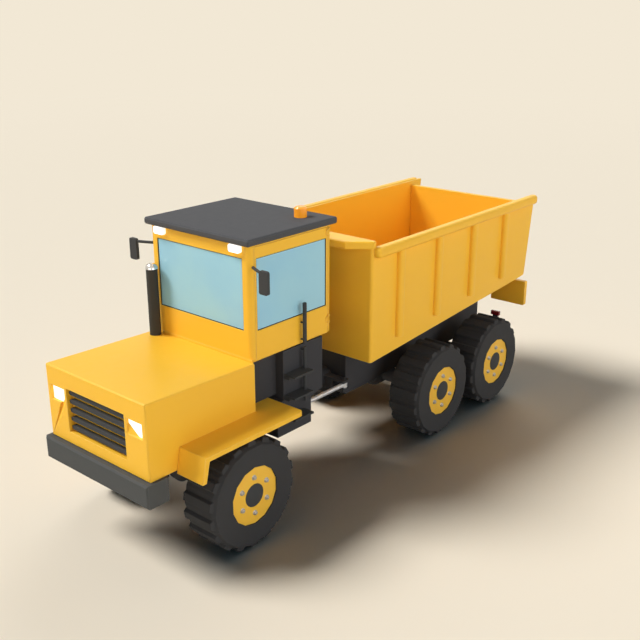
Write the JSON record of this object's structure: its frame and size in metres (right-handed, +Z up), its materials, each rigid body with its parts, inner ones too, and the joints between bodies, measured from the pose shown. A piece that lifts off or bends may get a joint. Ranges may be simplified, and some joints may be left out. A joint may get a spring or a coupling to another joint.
{
  "type": "articulated dump truck",
  "caption": "Articulated dump truck: hood and cab on a front unit, a steering hitch, and a rear unit with a ribbed tipping body, lugged tyres and a hinged tailgate.",
  "frame": {"origin": "on the ground, mid-length and mid-width", "axes": "+X forward, +Y to the left, +Z up"},
  "size_m": [9.14, 3.06, 4.34],
  "materials": {
    "yellow": "satin paint",
    "rim_yellow": "satin paint",
    "chassis": "matt paint",
    "engine": "matt paint",
    "dark_grey": "satin paint",
    "bumper_grey": "satin paint",
    "roof_grey": "satin paint",
    "black_steel": "heat-proof paint",
    "glass": "tinted",
    "seat": "matt",
    "trim": "grained",
    "amber": "clear moulding",
    "lamp_white": "lens",
    "lamp_red": "lens",
    "chrome": "polished",
    "tyre": "moulded rubber"
  },
  "bodies": {
    "front_unit": {"front_frame": "chassis", "front_cross_members": "chassis", "engine": "engine", "front_axle": "chassis", "hood": "yellow", "grille": "dark_grey", "front_lamps": "lamp_white", "bumper": "bumper_grey", "fenders": "yellow", "cab_shell": "yellow", "cab_roof": "roof_grey", "cab_glass": "glass", "driver_seat": "seat", "dashboard": "trim", "beacon": "amber", "exhaust_stack": "black_steel", "exhaust_cap": "chrome", "mirrors": "dark_grey", "side_boxes": "chassis", "access_steps": "dark_grey"},
    "cab_door": {"cab_door": "yellow", "door_glass": "glass", "door_rail": "dark_grey"},
    "hitch": {"hitch_link": "chassis"},
    "rear_unit": {"rear_frame": "chassis", "rear_cross_members": "chassis", "rear_axles": "chassis", "tail_lamps": "lamp_red"},
    "dump_body": {"dump_body": "yellow"},
    "tailgate": {"tailgate": "yellow"},
    "steer_barrel_left": {"steer_barrel_left": "dark_grey"},
    "steer_barrel_right": {"steer_barrel_right": "dark_grey"},
    "steer_rod_left": {"steer_rod_left": "chrome"},
    "steer_rod_right": {"steer_rod_right": "chrome"},
    "hoist_barrels": {"hoist_barrels": "dark_grey"},
    "hoist_rods": {"hoist_rods": "chrome"},
    "wheel_front_left": {"tyre_front_left": "tyre", "rim_front_left": "rim_yellow"},
    "wheel_front_right": {"tyre_front_right": "tyre", "rim_front_right": "rim_yellow"},
    "wheel_middle_left": {"tyre_middle_left": "tyre", "rim_middle_left": "rim_yellow"},
    "wheel_middle_right": {"tyre_middle_right": "tyre", "rim_middle_right": "rim_yellow"},
    "wheel_rear_left": {"tyre_rear_left": "tyre", "rim_rear_left": "rim_yellow"},
    "wheel_rear_right": {"tyre_rear_right": "tyre", "rim_rear_right": "rim_yellow"}
  },
  "joints": [
    {"name": "steering", "type": "hinge", "parent": "front_unit", "child": "hitch", "pos_m": [0.76, 0, 1.15], "axis": [0, 0, 1], "range_deg": [-17, 17]},
    {"name": "frame_roll", "type": "hinge", "parent": "hitch", "child": "rear_unit", "pos_m": [-0.24, 0, 1.15], "axis": [1, 0, 0], "range_deg": [-10, 10]},
    {"name": "body_tip", "type": "hinge", "parent": "rear_unit", "child": "dump_body", "pos_m": [-4.04, 0, 1.79], "axis": [0, -1, 0], "range_deg": [0, 70]},
    {"name": "tailgate_swing", "type": "hinge", "parent": "dump_body", "child": "tailgate", "pos_m": [-4.26, 0, 3.545], "axis": [0, 1, 0], "range_deg": [0, 75]},
    {"name": "door_swing", "type": "hinge", "parent": "front_unit", "child": "cab_door", "pos_m": [1.026, 1.015, 3.3], "axis": [0, 0, 1], "range_deg": [0, 85]},
    {"name": "wheel_front_left_spin", "type": "hinge", "parent": "front_unit", "child": "wheel_front_left", "pos_m": [3.06, 1.157, 0.8], "axis": [0, 1, 0], "continuous": true},
    {"name": "wheel_front_right_spin", "type": "hinge", "parent": "front_unit", "child": "wheel_front_right", "pos_m": [3.06, -1.157, 0.8], "axis": [0, 1, 0], "continuous": true},
    {"name": "wheel_middle_left_spin", "type": "hinge", "parent": "rear_unit", "child": "wheel_middle_left", "pos_m": [-1.506, 1.157, 0.8], "axis": [0, 1, 0], "continuous": true},
    {"name": "wheel_middle_right_spin", "type": "hinge", "parent": "rear_unit", "child": "wheel_middle_right", "pos_m": [-1.506, -1.157, 0.8], "axis": [0, 1, 0], "continuous": true},
    {"name": "wheel_rear_left_spin", "type": "hinge", "parent": "rear_unit", "child": "wheel_rear_left", "pos_m": [-3.259, 1.157, 0.8], "axis": [0, 1, 0], "continuous": true},
    {"name": "wheel_rear_right_spin", "type": "hinge", "parent": "rear_unit", "child": "wheel_rear_right", "pos_m": [-3.259, -1.157, 0.8], "axis": [0, 1, 0], "continuous": true},
    {"name": "steer_barrel_left_swing", "type": "hinge", "parent": "front_unit", "child": "steer_barrel_left", "pos_m": [1.71, 0.5, 1.15], "axis": [0, 0, 1], "range_deg": [-8, 8]},
    {"name": "steer_rod_left_slide", "type": "slide", "parent": "steer_barrel_left", "child": "steer_rod_left", "axis": [-1, 0, 0], "range_m": [-0.155, 0.155]},
    {"name": "steer_barrel_right_swing", "type": "hinge", "parent": "front_unit", "child": "steer_barrel_right", "pos_m": [1.71, -0.5, 1.15], "axis": [0, 0, 1], "range_deg": [-8, 8]},
    {"name": "steer_rod_right_slide", "type": "slide", "parent": "steer_barrel_right", "child": "steer_rod_right", "axis": [-1, 0, 0], "range_m": [-0.155, 0.155]},
    {"name": "hoist_barrel_tilt", "type": "hinge", "parent": "rear_unit", "child": "hoist_barrels", "pos_m": [-1.79, 0, 1.15], "axis": [0, -1, 0], "range_deg": [-8, 1]},
    {"name": "hoist_rod_slide", "type": "slide", "parent": "hoist_barrels", "child": "hoist_rods", "axis": [-0.8631, 0, 0.5051], "range_m": [-0.005, 1.05]}
  ],
  "couplings": [
    {"joint": "steer_barrel_left_swing", "follows": "steering", "ratio": 0.44},
    {"joint": "steer_rod_left_slide", "follows": "steering", "m_per_rad": 0.4975},
    {"joint": "steer_barrel_right_swing", "follows": "steering", "ratio": 0.44},
    {"joint": "steer_rod_right_slide", "follows": "steering", "m_per_rad": -0.4975},
    {"joint": "hoist_barrel_tilt", "follows": "body_tip", "ratio": -0.09},
    {"joint": "hoist_rod_slide", "follows": "body_tip", "m_per_rad": 0.8387}
  ]
}
